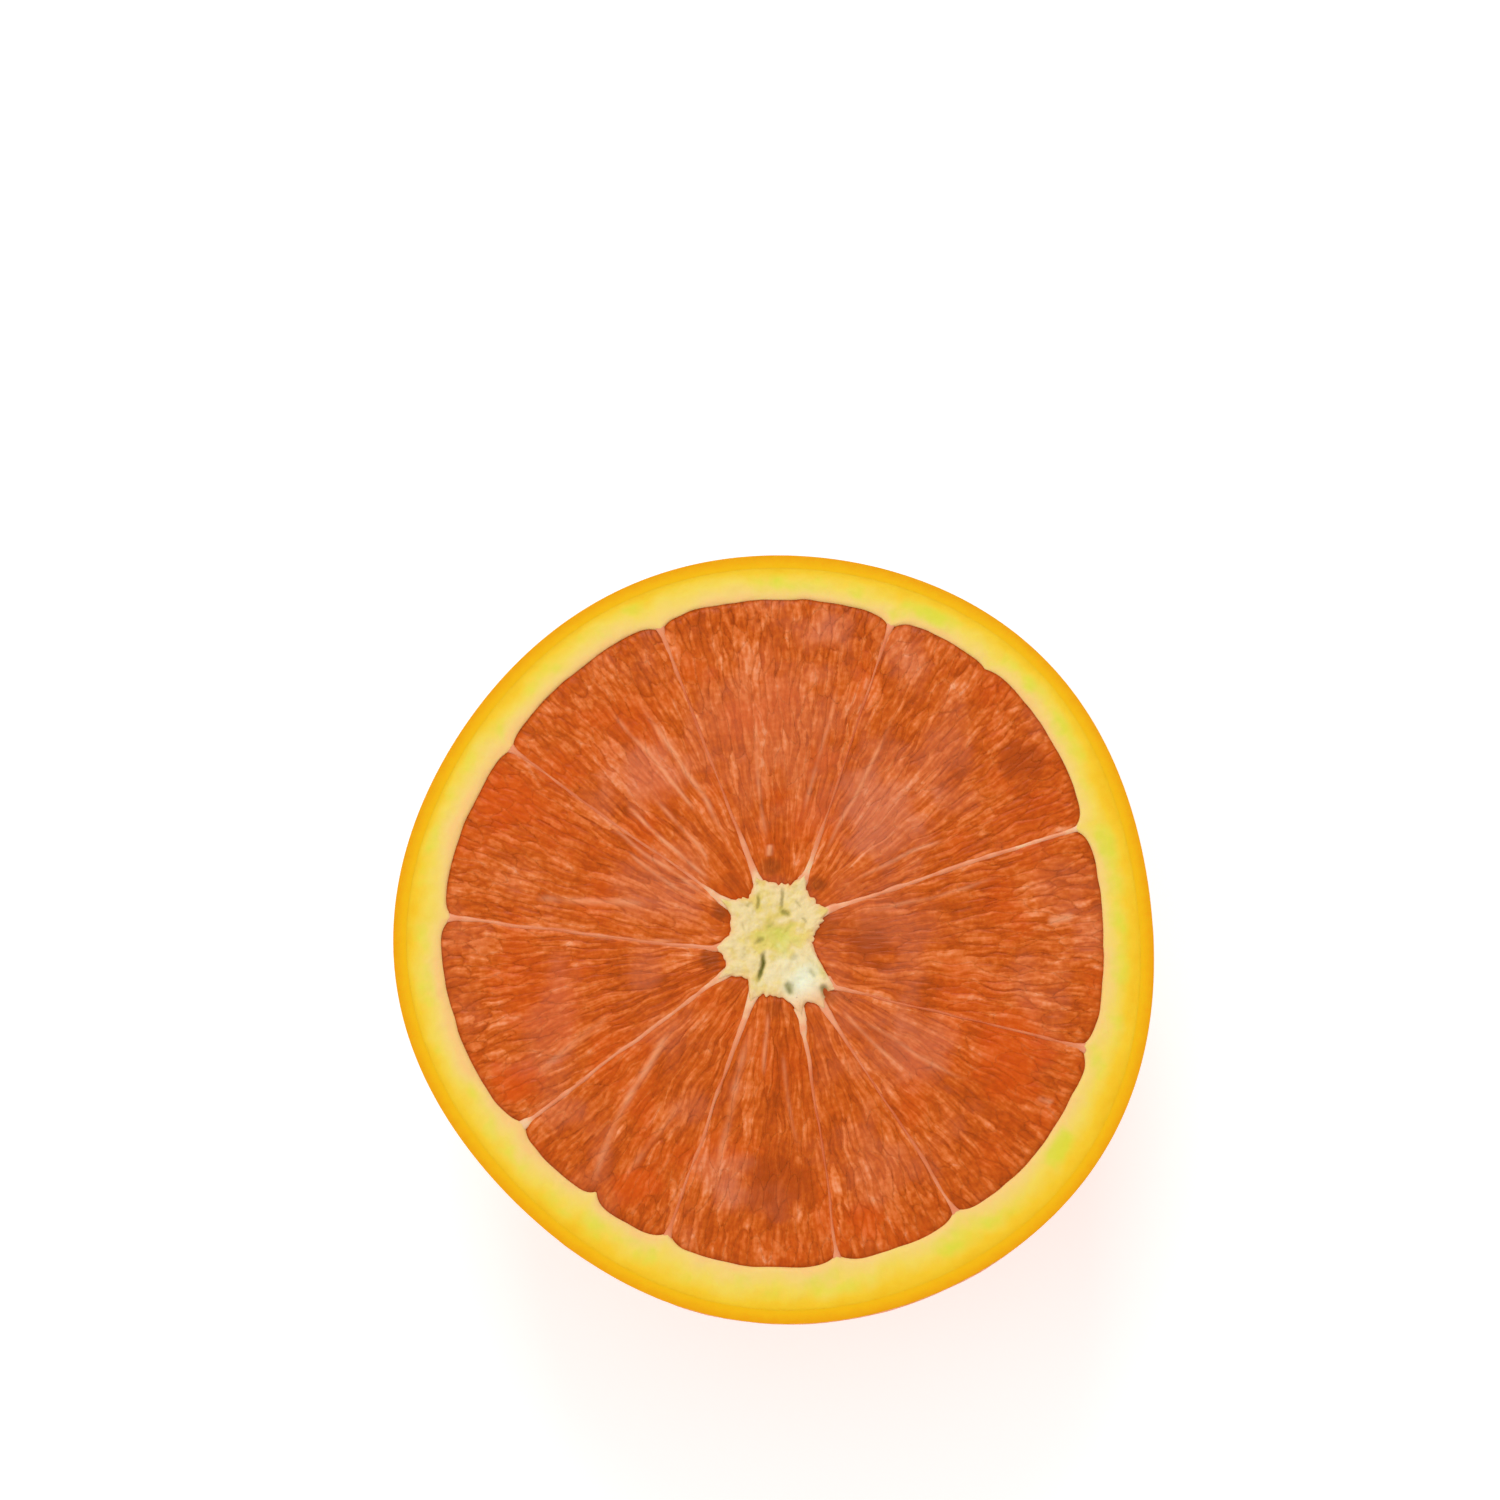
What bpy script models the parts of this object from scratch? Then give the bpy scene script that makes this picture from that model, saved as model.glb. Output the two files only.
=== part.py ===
"""A halved orange, lying on its dome with the cut face up.

A fruit grows as one piece and the knife leaves its half whole, so the half is one solid. The dome is half of
an ellipsoid with a small flat spot at its pole, on which it rests. On the cut face the rind, the membranes
and the core lie in one plane, and each of the ten segments of flesh is a pocket sunk a little below it.

Metres, +Z up. The origin is the centre of the flat spot. +X and +Y lie in the cut face.
"""

import math

import bmesh
import bpy
from mathutils import Vector

# The fruit.
FACE_WIDTH = 0.0775  # across the cut face, along X
FACE_LENGTH = 0.0790  # across the cut face, along Y
DOME_DEPTH = 0.0385  # from the cut face to the pole, before the pole is flattened
REST_SPOT_RADIUS = 0.0080  # of the flat spot, along X

# The cut face.
RIND_THICKNESS = 0.0050  # peel and pith together, from the skin in to the flesh
CORE_WIDTH = 0.0078  # of the pale core, along X
CORE_LENGTH = 0.0112  # of the pale core, along Y
MEMBRANE_THICKNESS = 0.0006  # between one segment and the next
FLESH_RECESS = 0.0005  # how far the flesh lies below the rind and the membranes
POCKET_FILLET = 0.0012  # round the upright corners of a segment

# Where each membrane meets the rind and where it meets the core, in degrees anticlockwise from +X.
# Segments are uneven, and a membrane leans a little from the straight way out of the core.
MEMBRANES = (
    (19, 26),
    (70, 67),
    (111, 111),
    (145, 148),
    (177, 190),
    (217, 216),
    (250, 248),
    (280, 283),
    (302, 302),
    (339, 322),
)

# How finely round shapes are faceted.
DOME_SIDES = 96
DOME_RINGS = 40  # from pole to pole, so half of these are on the dome
DEGREES_PER_ARC_STEP = 5
FILLET_STEPS = 3

CUTTER_REACH = 0.002  # how far a pocket's cutter stands clear above the cut face
WELD_DISTANCE = 1e-6

FACE_HEIGHT = DOME_DEPTH * math.sqrt(1 - (REST_SPOT_RADIUS / (FACE_WIDTH / 2)) ** 2)
FLESH_WIDTH = FACE_WIDTH - 2 * RIND_THICKNESS
FLESH_LENGTH = FACE_LENGTH - 2 * RIND_THICKNESS


def clear_scene():
    for leftover in list(bpy.data.objects):
        bpy.data.objects.remove(leftover)


def new_collection(name):
    collection = bpy.data.collections.new(name)
    bpy.context.scene.collection.children.link(collection)
    return collection


def new_material(name, colour, roughness):
    """A Principled material. The colour is linear RGB."""
    material = bpy.data.materials.new(name)
    material.use_nodes = True
    shader = material.node_tree.nodes["Principled BSDF"]
    shader.inputs["Base Color"].default_value = (*colour, 1.0)
    shader.inputs["Roughness"].default_value = roughness
    shader.inputs["Metallic"].default_value = 0.0
    material.diffuse_color = (*colour, 1.0)
    return material


def ellipse_point(width, length, degrees):
    """The point of an ellipse about the Z axis that lies in this direction from its centre."""
    angle = math.radians(degrees)
    direction = Vector((math.cos(angle), math.sin(angle)))
    reach = math.hypot(direction.x / (width / 2), direction.y / (length / 2))
    return direction / reach


def direction_of(point):
    """Degrees anticlockwise from +X."""
    return math.degrees(math.atan2(point.y, point.x))


def wall_ends(membrane, side):
    """Where one wall of a membrane meets the core and the rind, as directions in degrees.

    side is +1 for the wall that faces anticlockwise and -1 for the one that faces clockwise.
    """
    at_rind = ellipse_point(FLESH_WIDTH, FLESH_LENGTH, membrane[0])
    at_core = ellipse_point(CORE_WIDTH, CORE_LENGTH, membrane[1])
    along = (at_rind - at_core).normalized()
    aside = Vector((-along.y, along.x)) * side * MEMBRANE_THICKNESS / 2
    return direction_of(at_core + aside), direction_of(at_rind + aside)


def arc(width, length, start, end):
    """Points along an ellipse, anticlockwise from one direction to the other."""
    sweep = (end - start) % 360
    steps = max(2, round(sweep / DEGREES_PER_ARC_STEP))
    return [ellipse_point(width, length, start + sweep * i / steps) for i in range(steps + 1)]


def pocket_outline(first, second):
    """A segment's outline, anticlockwise: out at the rind, then back round the core."""
    core_start, rind_start = wall_ends(first, 1)
    core_end, rind_end = wall_ends(second, -1)
    along_rind = arc(FLESH_WIDTH, FLESH_LENGTH, rind_start, rind_end)
    along_core = arc(CORE_WIDTH, CORE_LENGTH, core_start, core_end)
    return along_rind, along_core


def add_pocket_cutter(name, first, second, material, collection):
    """The upright prism that sinks one segment into the cut face, with its four corners rounded."""
    along_rind, along_core = pocket_outline(first, second)
    outline = along_rind + along_core[::-1]
    corners = [along_rind[0], along_rind[-1], along_core[0], along_core[-1]]

    bm = bmesh.new()
    bottom = [bm.verts.new((point.x, point.y, 0.0)) for point in outline]
    floor = bm.faces.new(bottom)
    raised = bmesh.ops.extrude_face_region(bm, geom=[floor])["geom"]
    lifted = [item for item in raised if isinstance(item, bmesh.types.BMVert)]
    bmesh.ops.translate(bm, verts=lifted, vec=(0, 0, FLESH_RECESS + CUTTER_REACH))
    upright = [
        edge
        for edge in bm.edges
        if edge.verts[0].co.xy == edge.verts[1].co.xy
        and any((edge.verts[0].co.xy - corner).length < WELD_DISTANCE for corner in corners)
    ]
    bmesh.ops.bevel(
        bm,
        geom=upright,
        offset=POCKET_FILLET,
        offset_type="OFFSET",
        segments=FILLET_STEPS,
        profile=0.5,
        affect="EDGES",
        clamp_overlap=True,
        material=-1,
    )
    bmesh.ops.remove_doubles(bm, verts=bm.verts, dist=WELD_DISTANCE)
    bmesh.ops.recalc_face_normals(bm, faces=bm.faces)

    mesh = bpy.data.meshes.new(name)
    bm.to_mesh(mesh)
    bm.free()
    mesh.materials.append(material)
    cutter = bpy.data.objects.new(name, mesh)
    cutter.location.z = FACE_HEIGHT - FLESH_RECESS
    cutter.hide_render = True
    cutter.display_type = "WIRE"
    collection.objects.link(cutter)


def cut_flat(bm, height, upwards):
    """Cuts the body level at a height and closes it there. It loses what is above, or what is below."""
    whole = bm.verts[:] + bm.edges[:] + bm.faces[:]
    cut = bmesh.ops.bisect_plane(
        bm,
        geom=whole,
        dist=WELD_DISTANCE,
        plane_co=(0, 0, height),
        plane_no=(0, 0, 1),
        clear_outer=upwards,
        clear_inner=not upwards,
    )
    rim = [item for item in cut["geom_cut"] if isinstance(item, bmesh.types.BMEdge)]
    return bmesh.ops.edgeloop_fill(bm, edges=rim)["faces"]


def add_orange_half(skin, pith, cutters, collection):
    """The fruit's half: an ellipsoid cut level at its middle and at its foot, then sunk at each segment."""
    bm = bmesh.new()
    bmesh.ops.create_uvsphere(bm, u_segments=DOME_SIDES, v_segments=DOME_RINGS, radius=0.5)
    bmesh.ops.scale(bm, verts=bm.verts, vec=(FACE_WIDTH, FACE_LENGTH, 2 * DOME_DEPTH))
    bmesh.ops.translate(bm, verts=bm.verts, vec=(0, 0, FACE_HEIGHT))
    cut_flat(bm, 0.0, upwards=False)
    cut_face = cut_flat(bm, FACE_HEIGHT, upwards=True)
    for face in cut_face:
        face.material_index = 1
    bmesh.ops.recalc_face_normals(bm, faces=bm.faces)

    mesh = bpy.data.meshes.new("orange_half")
    bm.to_mesh(mesh)
    bm.free()
    mesh.materials.append(skin)
    mesh.materials.append(pith)
    mesh.shade_smooth()
    mesh.set_sharp_from_angle(angle=math.radians(30))
    half = bpy.data.objects.new("orange_half", mesh)
    collection.objects.link(half)

    sink = half.modifiers.new("sink_segments", "BOOLEAN")
    sink.operation = "DIFFERENCE"
    sink.solver = "EXACT"
    sink.operand_type = "COLLECTION"
    sink.collection = cutters
    sink.material_mode = "TRANSFER"


def main():
    clear_scene()
    parts = new_collection("orange")
    cutters = new_collection("cutters")
    skin = new_material("skin", (0.93, 0.22, 0.012), 0.42)
    pith = new_material("pith", (0.91, 0.66, 0.16), 0.65)
    flesh = new_material("flesh", (0.62, 0.135, 0.03), 0.30)
    for number, first in enumerate(MEMBRANES, start=1):
        second = MEMBRANES[number % len(MEMBRANES)]
        add_pocket_cutter(f"segment_cutter_{number:02d}", first, second, flesh, cutters)
    add_orange_half(skin, pith, cutters, parts)


main()
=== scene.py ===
"""The looks of a halved orange: pebbled peel, spongy pith, thin membranes, a starry core, streaked flesh.

Each layer is shaped in two steps. First a plain blank is made with bmesh operators: mostly a square sheet
whose border is extruded downwards, level by level, and closed. Then every vertex of the blank is moved by
the layer's own formula. The plan of the cut face, as radii about the fruit's axis, serves all the layers.

Lengths are in metres and angles in radians unless a name ends in _deg.
"""

import itertools
import logging
import math
from dataclasses import dataclass
from enum import Enum
from typing import Callable

import bmesh
import bpy
import numpy as np
from mathutils import Matrix, Vector
from mathutils.kdtree import KDTree


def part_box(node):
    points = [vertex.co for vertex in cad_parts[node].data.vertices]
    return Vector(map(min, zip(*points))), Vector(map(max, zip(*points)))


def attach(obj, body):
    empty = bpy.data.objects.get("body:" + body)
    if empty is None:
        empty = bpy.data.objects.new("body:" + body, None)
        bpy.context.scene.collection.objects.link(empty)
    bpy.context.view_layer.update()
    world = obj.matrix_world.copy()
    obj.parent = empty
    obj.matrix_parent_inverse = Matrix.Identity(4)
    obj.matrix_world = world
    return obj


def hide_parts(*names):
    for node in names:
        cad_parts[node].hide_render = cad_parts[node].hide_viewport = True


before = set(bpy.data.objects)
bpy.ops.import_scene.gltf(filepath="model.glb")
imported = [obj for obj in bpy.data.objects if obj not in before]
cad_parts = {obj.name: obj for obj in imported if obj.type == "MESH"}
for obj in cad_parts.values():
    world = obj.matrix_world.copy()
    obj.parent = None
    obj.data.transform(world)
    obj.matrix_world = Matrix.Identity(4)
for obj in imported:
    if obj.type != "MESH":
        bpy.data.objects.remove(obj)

LOG = logging.getLogger("orange")
MM = 0.001
TURN = 2 * math.pi
AXIS = (0.69 * MM, 0.10 * MM)  # of the fruit, from the middle of its base
DOME_DEPTH = 38.5 * MM
SKIN_ROOM = 0.08 * MM  # how far the skin's mean radius stays inside the box
GOLDEN_ANGLE = math.pi * (3 - math.sqrt(5))

Colour = tuple[float, float, float]
Lobes = tuple[tuple[int, float, float], ...]  # how many round the axis, how far out, the direction of one
Lamp = tuple[tuple[float, float, float], float, float]  # its place, its width and its power in watts
Rows = tuple[tuple[float, float], tuple[float, float], float]  # lengths and widths by core and pith, lean_deg


def srgb(code: str) -> Colour:
    """A linear colour from a code such as "d06832"."""
    parts = (int(code[i : i + 2], 16) / 255 for i in (0, 2, 4))
    return tuple(p / 12.92 if p <= 0.04045 else ((p + 0.055) / 1.055) ** 2.4 for p in parts)


# --------------------------------------------------------------------------------------------------
# Fields: random but repeatable patterns, and the blends that shape them.


def smooth_step(value: np.ndarray, low: float, high: float) -> np.ndarray:
    """Rises smoothly from 0 at low to 1 at high."""
    share = np.clip((value - low) / (high - low), 0, 1)
    return share * share * (3 - 2 * share)


def scatter(cells: np.ndarray, seed: int) -> np.ndarray:
    """A random number from 0 to 1 for each whole-numbered cell.

    Args:
        cells: Whole numbers, one row for each cell.
        seed: Picks another set of numbers.

    Returns:
        One number for each row.
    """
    primes = np.array([73856093, 19349663, 83492791][: cells.shape[1]], np.int64)
    mixed = (cells.astype(np.int64) * primes).sum(1) + seed * 668265263
    mask = np.int64(0xFFFFFFFF)
    mixed &= mask
    for shift in (15, 13, 16):
        mixed = ((mixed ^ (mixed >> shift)) * 739982445) & mask
    return mixed / float(mask)


def noise(points: np.ndarray, seed: int) -> np.ndarray:
    """Smooth hills and hollows from -1 to 1, about one to a unit of distance.

    Args:
        points: Places in two or three dimensions, one row for each.
        seed: Picks another landscape.

    Returns:
        The height at each place.
    """
    cells = np.floor(points)
    blend = points - cells
    blend = blend * blend * (3 - 2 * blend)
    total = np.zeros(len(points))
    for corner in itertools.product((0, 1), repeat=points.shape[1]):
        at = np.array(corner)
        weight = np.prod(np.where(at == 1, blend, 1 - blend), axis=1)
        total += weight * scatter(cells + at, seed)
    return 2 * total - 1


def layered_noise(points: np.ndarray, seed: int, layers: int = 3) -> np.ndarray:
    """Noise with finer and fainter noise on top of it."""
    heights = [noise(points * 2**i, seed + i) / 2**i for i in range(layers)]
    return sum(heights) / (2 - 2 ** (1 - layers))


def lane(distance: np.ndarray, offset: float) -> np.ndarray:
    """Places to read noise at along a line. Another offset gives another line."""
    return np.stack([distance, np.full_like(distance, offset)], 1)


def about(angle: np.ndarray, radius: np.ndarray | float) -> np.ndarray:
    """Places in the plan of the cut face, from directions and distances about the axis."""
    return np.stack([radius * np.cos(angle), radius * np.sin(angle)], -1)


def stray(points: np.ndarray, reach: float, size: float, seed: int) -> np.ndarray:
    """The points, moved aside by up to about reach in waves of the given size."""
    return points + reach * np.stack([layered_noise(points / size + 9 * i, seed + i, 2) for i in (0, 1)], 1)


def nearest(points: np.ndarray, seeds: np.ndarray) -> tuple[np.ndarray, np.ndarray]:
    """Which seed each point is nearest to.

    Args:
        points: Places, one row for each.
        seeds: The middles of the cells.

    Returns:
        The nearest seed's row and the distance to it, for each point.
    """
    tree = KDTree(len(seeds))
    for row, seed in enumerate(seeds):
        tree.insert(seed, row)
    tree.balance()
    found = [tree.find(point) for point in points]
    return np.array([row for _, row, _ in found]), np.array([away for _, _, away in found])


@dataclass
class Spindles:
    """Long cells that lie side by side, such as juice sacs, each with its own place, direction and size."""

    middles: np.ndarray
    aims: np.ndarray
    half_lengths: np.ndarray
    half_widths: np.ndarray
    taper: float = 0.3
    tile: float = 2.5 * MM

    def find(self, points: np.ndarray) -> tuple[np.ndarray, np.ndarray, np.ndarray]:
        """Which cell each point is in.

        Args:
            points: Places on the cut face, one row for each.

        Returns:
            The cell's row, how far the point is from the cell's wall, and the point's place in the cell's own
            frame, which is across it and along it.
        """
        rows, wall = np.zeros(len(points), int), np.zeros(len(points))
        local = np.zeros((len(points), 2))
        tiles = np.floor(points / self.tile).astype(int)
        group = (tiles[:, 0] + 500) * 1000 + tiles[:, 1] + 500
        order = np.argsort(group, kind="stable")
        reach = 2.4 * self.half_lengths.max() + self.tile
        for part in np.split(order, np.flatnonzero(np.diff(group[order])) + 1):
            near = np.flatnonzero(np.linalg.norm(self.middles - points[part].mean(0), axis=1) < reach)
            offset = points[part][:, None] - self.middles[near]
            aim = self.aims[near]
            along = offset[..., 0] * aim[:, 0] + offset[..., 1] * aim[:, 1]
            across = offset[..., 0] * aim[:, 1] - offset[..., 1] * aim[:, 0]
            share = along / self.half_lengths[near]
            width = self.half_widths[near] * (1 + self.taper * np.clip(share, -1, 1))
            away = share**2 + (across / width) ** 2
            pair = np.argpartition(away, 1, axis=1)[:, :2]
            both = np.sqrt(np.take_along_axis(away, pair, 1))
            pair = np.where((both[:, 0] <= both[:, 1])[:, None], pair, pair[:, ::-1])
            line = np.arange(len(part))
            rows[part] = near[pair[:, 0]]
            wall[part] = 0.5 * np.abs(both[:, 1] - both[:, 0]) * width[line, pair[:, 0]]
            local[part] = np.stack([across[line, pair[:, 0]], along[line, pair[:, 0]]], 1)
        return rows, wall, local


# --------------------------------------------------------------------------------------------------
# The plan of the cut face.


@dataclass(frozen=True)
class Wall:
    """One membrane, where it starts at the core and where it ends at the pith.

    pith_deg and core_deg are directions from the axis, anticlockwise from +X. tip is how far out the core's
    point reaches along it, hollow is how far out the core reaches on the way to the next membrane, and notch
    is how far the pith points inwards at it. paleness is its own by the core, half way and by the pith.
    """

    pith_deg: float
    core_deg: float
    tip: float
    hollow: float
    notch: float
    paleness: tuple[float, float, float]


WALLS = tuple(
    Wall(pith_deg, core_deg, tip * MM, hollow * MM, notch * MM, paleness)
    for pith_deg, core_deg, tip, hollow, notch, paleness in (
        (19, 24, 6.0, 4.9, 1.9, (0.60, 0.75, 0.90)),
        (70, 65, 6.9, 4.9, 1.7, (0.80, 0.08, 0.55)),
        (111, 112, 6.6, 4.6, 1.3, (0.90, 0.22, 0.50)),
        (145, 150, 7.0, 4.3, 1.0, (0.65, 0.30, 0.35)),
        (177, 194, 6.8, 5.3, 1.3, (0.55, 0.45, 0.70)),
        (217, 218, 7.7, 5.5, 1.4, (0.70, 0.72, 0.85)),
        (250, 248, 7.7, 6.2, 1.3, (0.95, 0.45, 0.35)),
        (280, 285, 9.2, 6.8, 1.1, (0.95, 0.12, 0.40)),
        (302, 301, 9.2, 6.9, 1.2, (0.55, 0.18, 0.50)),
        (339, 315, 8.0, 3.3, 1.2, (0.40, 0.08, 0.45)),
    )
)


@dataclass(frozen=True)
class Ray:
    """A pale streak in the flesh, from start outwards to end. Most are fibres that are not membranes; the
    last three rows of the table are painted glints.

    start_deg and end_deg are its directions there, strength is how pale it is, and width is its half width.
    """

    start_deg: float
    end_deg: float
    start: float
    end: float
    strength: float
    width: float


RAYS = tuple(
    Ray(start_deg, end_deg, start * MM, end * MM, strength, width * MM)
    for start_deg, end_deg, start, end, strength, width in (
        (143, 139, 8.5, 21.0, 0.55, 0.20),
        (152, 146, 8.0, 23.0, 0.60, 0.20),
        (157, 151, 9.0, 18.0, 0.40, 0.20),
        (168, 172, 13.0, 26.0, 0.38, 0.36),
        (186, 178, 9.0, 24.0, 0.35, 0.20),
        (206, 211, 19.0, 29.5, 0.26, 0.36),
        (222, 234, 13.0, 32.5, 0.48, 0.36),
        (240, 238, 19.0, 30.0, 0.20, 0.32),
        (254, 256, 9.0, 27.0, 0.32, 0.36),
        (262, 264, 8.0, 15.0, 0.35, 0.20),
        (272, 275, 12.0, 22.0, 0.30, 0.20),
        (308, 312, 10.0, 19.0, 0.55, 0.20),
        (314, 322, 12.0, 25.0, 0.30, 0.20),
        (34, 29, 9.0, 20.0, 0.35, 0.20),
        (12, 14, 8.0, 24.0, 0.30, 0.20),
        (60, 62, 9.0, 26.0, 0.35, 0.20),
        (78, 76, 12.0, 27.0, 0.30, 0.20),
        (98, 96, 9.0, 24.0, 0.30, 0.20),
        (118, 121, 10.0, 29.0, 0.50, 0.26),
        (124, 127, 14.0, 30.0, 0.45, 0.20),
        (133, 132, 10.0, 19.0, 0.40, 0.20),
        # The last three rows are painted glints, not fibres.
        (97, 96, 7.8, 9.2, 0.75, 0.30),
        (2, 3, 27.2, 30.2, 0.75, 0.38),
        (327, 328, 31.0, 32.8, 0.60, 0.30),
    )
)


@dataclass(frozen=True)
class Blush:
    """A patch of flesh that is pinker with a painted sheen, redder (ember) or darker (shade) than the rest.
    The darker patches are partly the flesh's own dark marks and partly painted shadow by the core.
    """

    deg: float
    out: float
    size: float
    haze: float
    ember: float
    shade: float


BLUSHES = tuple(
    Blush(deg, out * MM, size * MM, haze, ember, shade)
    for deg, out, size, haze, ember, shade in (
        (128, 21.5, 4.5, 0.75, 0, 0),
        (92, 21.0, 10.0, 0.40, 0, 0),
        (50, 16.0, 5.5, 0.75, 0, 0),
        (319, 18.5, 4.5, 0.65, 0, 0),
        (257, 25.0, 3.2, 0.65, 0, 0),
        (160, 14.0, 4.0, 0.45, 0, 0),
        (80, 32.0, 2.6, 0.55, 0, 0),
        (64, 31.5, 2.2, 0.50, 0, 0),
        (222, 15.0, 3.5, 0.35, 0, 0),
        (154, 31.0, 4.0, 0, 0.9, 0),
        (143, 28.5, 3.0, 0, 0.6, 0),
        (35, 30.5, 2.6, 0, 0.9, 0.5),
        (331, 26.5, 5.5, 0, 0.9, 0),
        (340, 21.0, 4.0, 0, 0.4, 0),
        (210, 30.5, 3.0, 0, 1.0, 0),
        (195, 24.5, 6.0, 0, 0.5, 0),
        (241, 29.5, 3.0, 0, 0.9, 0),
        (270, 25.5, 4.0, 0, 0.6, 0.4),
        (287, 31.0, 3.0, 0, 0.8, 0),
        (70, 12.0, 3.5, 0, 0.5, 0),
        (356, 9.0, 3.0, 0, 0.5, 0.4),
        (20, 28.0, 4.0, 0, 0.4, 0),
        # Darker patches by the core: partly the flesh's own dark marks, partly painted shadow.
        (160, 6.1, 1.3, 0, 0, 0.65),
        (200, 7.2, 1.1, 0, 0, 0.55),
        (97, 6.6, 1.2, 0, 0, 0.50),
        (52, 6.4, 1.2, 0, 0, 0.55),
        (132, 7.0, 1.2, 0, 0, 0.30),
        (308, 8.4, 1.3, 0, 0, 0.45),
        (268, 8.0, 1.6, 0, 0, 0.30),
        (5, 5.0, 1.6, 0, 0, 0.30),
    )
)


@dataclass(frozen=True)
class Pit:
    """A short dent in the core, from one place to another about the axis. width is its half width."""

    start: tuple[float, float]
    end: tuple[float, float]
    width: float
    depth: float


PITS = tuple(
    Pit((x * MM, y * MM), (end_x * MM, end_y * MM), width * MM, depth)
    for x, y, end_x, end_y, width, depth in (
        (-1.45, -2.3, -2.05, -4.9, 0.20, 1.0),
        (-1.5, -0.6, -2.3, -1.0, 0.30, 0.55),
        (-2.0, 3.7, -2.2, 2.5, 0.24, 0.52),
        (-2.8, 3.0, -3.1, 2.6, 0.22, 0.30),
        (0.4, 4.4, 0.3, 2.2, 0.22, 0.50),
        (0.4, 2.2, 1.1, 1.9, 0.28, 0.60),
        (-0.6, 0.9, -1.1, 0.6, 0.24, 0.25),
        (1.7, -2.4, 1.5, -2.9, 0.28, 0.30),
        (1.0, -5.3, 1.2, -6.2, 0.36, 0.75),
        (3.2, -4.0, 3.7, -4.4, 0.30, 0.35),
        (4.4, -5.7, 4.8, -6.4, 0.36, 0.75),
        (-3.3, -1.6, -3.6, -2.6, 0.24, 0.22),
        (2.4, 1.3, 2.9, 0.9, 0.16, 0.30),
        (-3.6, 0.9, -3.4, 0.2, 0.16, 0.22),
        (1.9, 3.2, 2.3, 2.6, 0.15, 0.25),
    )
)


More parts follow.
